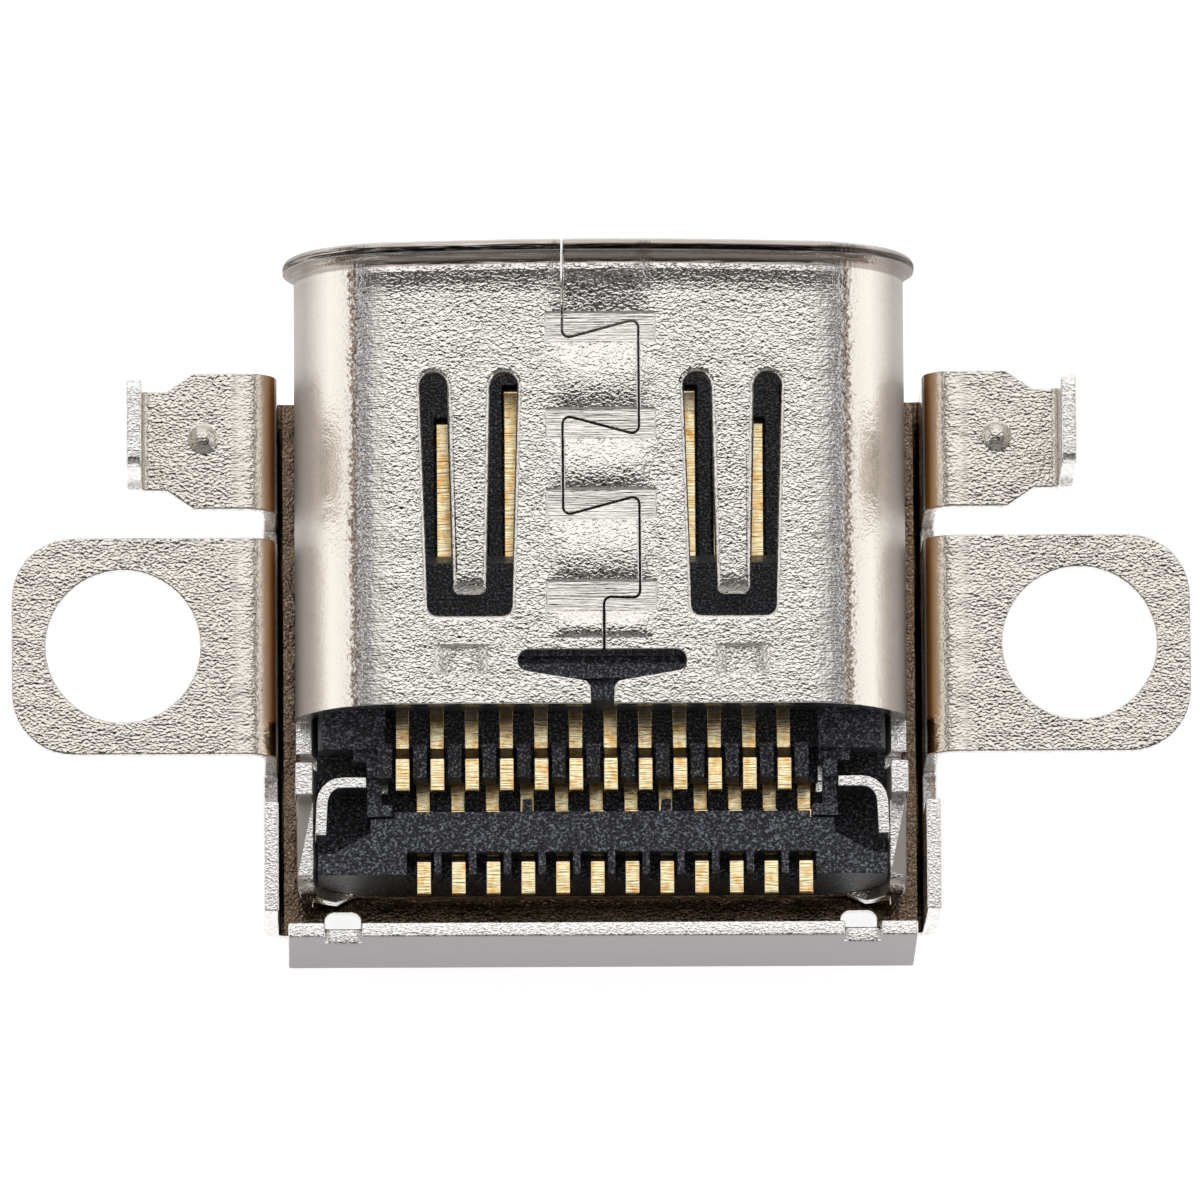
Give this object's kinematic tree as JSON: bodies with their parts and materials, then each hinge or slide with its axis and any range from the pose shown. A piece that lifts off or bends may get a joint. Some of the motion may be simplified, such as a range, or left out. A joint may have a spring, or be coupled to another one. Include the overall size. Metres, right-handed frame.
{
  "type": "usb-c socket",
  "caption": "Reversible USB-C socket: flared steel shell with spring fingers, gold contacts and a folded bracket with screw ears.",
  "frame": {"origin": "midpoint between the two screw holes, on the face of the ears that seats on the circuit board", "axes": "+X along the width through both screw holes, +Y out of the mouth, +Z towards the circuit board"},
  "size_m": [0.017, 0.0102, 0.0041],
  "materials": {
    "nickel_plated_shell": "satin nickel plate on pebbled stainless sheet",
    "nickel_plated_bracket": "satin nickel plate on stainless sheet, sheared edges",
    "bare_steel": "sheared stainless sheet",
    "black_lcp": "matt moulded black polymer",
    "gold_contact": "bright gold plate on copper alloy"
  },
  "bodies": {
    "root": {"shell": "nickel_plated_shell", "bracket": "nickel_plated_bracket", "tongue_body": "black_lcp", "board_side_wafer": "black_lcp", "base_side_wafer": "black_lcp", "mid_plate": "bare_steel", "board_contact_1": "gold_contact", "board_contact_2": "gold_contact", "board_contact_3": "gold_contact", "board_contact_4": "gold_contact", "board_contact_5": "gold_contact", "board_contact_6": "gold_contact", "board_contact_7": "gold_contact", "board_contact_8": "gold_contact", "board_contact_9": "gold_contact", "board_contact_10": "gold_contact", "board_contact_11": "gold_contact", "board_contact_12": "gold_contact", "base_contact_1": "gold_contact", "base_contact_2": "gold_contact", "base_contact_3": "gold_contact", "base_contact_4": "gold_contact", "base_contact_5": "gold_contact", "base_contact_6": "gold_contact", "base_contact_7": "gold_contact", "base_contact_8": "gold_contact", "base_contact_9": "gold_contact", "base_contact_10": "gold_contact", "base_contact_11": "gold_contact", "base_contact_12": "gold_contact"}
  },
  "joints": []
}
